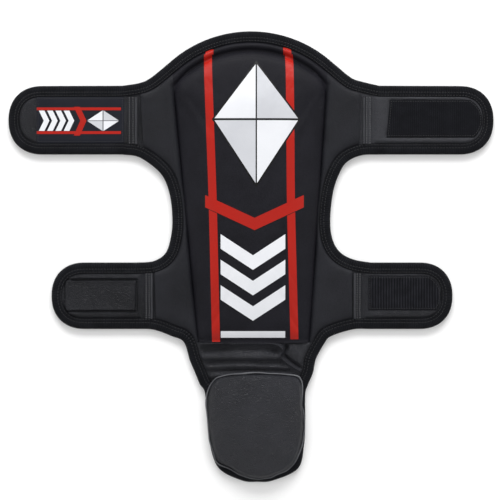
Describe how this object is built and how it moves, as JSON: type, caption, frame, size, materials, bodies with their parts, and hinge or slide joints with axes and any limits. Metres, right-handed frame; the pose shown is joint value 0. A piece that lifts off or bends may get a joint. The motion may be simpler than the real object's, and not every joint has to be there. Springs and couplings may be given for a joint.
{
  "type": "shin and instep guard",
  "caption": "Padded leg guard lying open: raised shin pad, two side wings, closing straps and a hinged instep pad over the foot.",
  "frame": {"origin": "middle of the footprint of the open guard, on the surface that it lies on", "axes": "+X across the guard towards the straps with the loop patches, +Y from the foot towards the knee, +Z out of the striking face"},
  "size_m": [0.5566, 0.517, 0.0238],
  "materials": {
    "pad_leather": "smooth grained synthetic leather, satin, black",
    "wing_leather": "smooth grained synthetic leather, satin, black",
    "strap_leather": "wrinkled synthetic leather, satin, black",
    "soft_leather": "pebbled soft synthetic leather, satin, charcoal black",
    "edge_tape": "ribbed woven tape, matt, black",
    "lining_cloth": "knitted lining, matt, black",
    "soft_foam": "open soft foam, matt, grey",
    "firm_foam": "closed-cell foam, matt, dark grey",
    "loop_pile": "brushed loop pile, matt, black",
    "hook_tape": "woven hook tape, black",
    "woven_label": "woven label, black with red and white threads",
    "elastic": "ribbed elastic webbing, matt, black"
  },
  "bodies": {
    "shin": {"shin_cover": "pad_leather", "shin_cushion_foam": "soft_foam", "shin_impact_core": "firm_foam", "shin_lining": "lining_cloth", "knee_edge_tape": "edge_tape"},
    "left_wing": {"left_wing_cover": "wing_leather", "left_wing_foam": "soft_foam", "left_wing_lining": "lining_cloth", "left_shoulder_edge_tape": "edge_tape", "left_calf_edge_tape": "edge_tape", "left_hem_edge_tape": "edge_tape"},
    "right_wing": {"right_wing_cover": "wing_leather", "right_wing_foam": "soft_foam", "right_wing_lining": "lining_cloth", "right_shoulder_edge_tape": "edge_tape", "right_calf_edge_tape": "edge_tape", "right_hem_edge_tape": "edge_tape"},
    "upper_left_strap": {"upper_left_strap_face": "strap_leather", "upper_left_strap_backing": "lining_cloth", "upper_left_strap_edge_tape": "edge_tape", "upper_left_strap_seam_tape": "edge_tape", "upper_left_strap_label": "woven_label", "upper_left_strap_hook_patch": "hook_tape"},
    "lower_left_strap": {"lower_left_strap_face": "strap_leather", "lower_left_strap_backing": "lining_cloth", "lower_left_strap_edge_tape": "edge_tape", "lower_left_strap_seam_tape": "edge_tape", "lower_left_strap_hook_patch": "hook_tape"},
    "upper_right_strap": {"upper_right_strap_face": "strap_leather", "upper_right_strap_backing": "lining_cloth", "upper_right_strap_edge_tape": "edge_tape", "upper_right_strap_seam_tape": "edge_tape", "upper_right_strap_loop_patch": "loop_pile"},
    "lower_right_strap": {"lower_right_strap_face": "strap_leather", "lower_right_strap_backing": "lining_cloth", "lower_right_strap_edge_tape": "edge_tape", "lower_right_strap_seam_tape": "edge_tape", "lower_right_strap_loop_patch": "loop_pile"},
    "ankle_bridge": {"ankle_bridge_cover": "soft_leather", "ankle_bridge_foam": "soft_foam", "ankle_bridge_lining": "lining_cloth", "left_ankle_edge_tape": "edge_tape", "right_ankle_edge_tape": "edge_tape"},
    "instep": {"instep_pad_cover": "soft_leather", "instep_pad_foam": "firm_foam", "instep_base_sheet": "soft_leather", "instep_lining": "lining_cloth", "instep_edge_tape": "edge_tape", "instep_elastic_band": "elastic"}
  },
  "joints": [
    {"name": "left_wing_fold", "type": "hinge", "parent": "shin", "child": "left_wing", "pos_m": [-0.0604, -0.0985, 0.001], "axis": [0.0956, -0.9954, 0], "range_deg": [-30, 90]},
    {"name": "right_wing_fold", "type": "hinge", "parent": "shin", "child": "right_wing", "pos_m": [0.0667, -0.0985, 0.001], "axis": [0.0673, 0.9977, 0], "range_deg": [-30, 90]},
    {"name": "upper_left_strap_fold", "type": "hinge", "parent": "left_wing", "child": "upper_left_strap", "pos_m": [-0.1275, 0.1564, 0.001], "axis": [0, -1, 0], "range_deg": [-30, 80]},
    {"name": "lower_left_strap_fold", "type": "hinge", "parent": "left_wing", "child": "lower_left_strap", "pos_m": [-0.112, -0.045, 0.001], "axis": [0, -1, 0], "range_deg": [-30, 80]},
    {"name": "upper_right_strap_fold", "type": "hinge", "parent": "right_wing", "child": "upper_right_strap", "pos_m": [0.1272, 0.1564, 0.001], "axis": [0, 1, 0], "range_deg": [-30, 100]},
    {"name": "lower_right_strap_fold", "type": "hinge", "parent": "right_wing", "child": "lower_right_strap", "pos_m": [0.1173, -0.045, 0.001], "axis": [0, 1, 0], "range_deg": [-30, 100]},
    {"name": "ankle_fold", "type": "hinge", "parent": "shin", "child": "ankle_bridge", "pos_m": [0, -0.0985, 0.0035], "axis": [-1, 0, 0], "range_deg": [-10, 45]},
    {"name": "instep_fold", "type": "hinge", "parent": "ankle_bridge", "child": "instep", "pos_m": [0, -0.135, 0.0035], "axis": [-1, 0, 0], "range_deg": [-10, 45]}
  ]
}
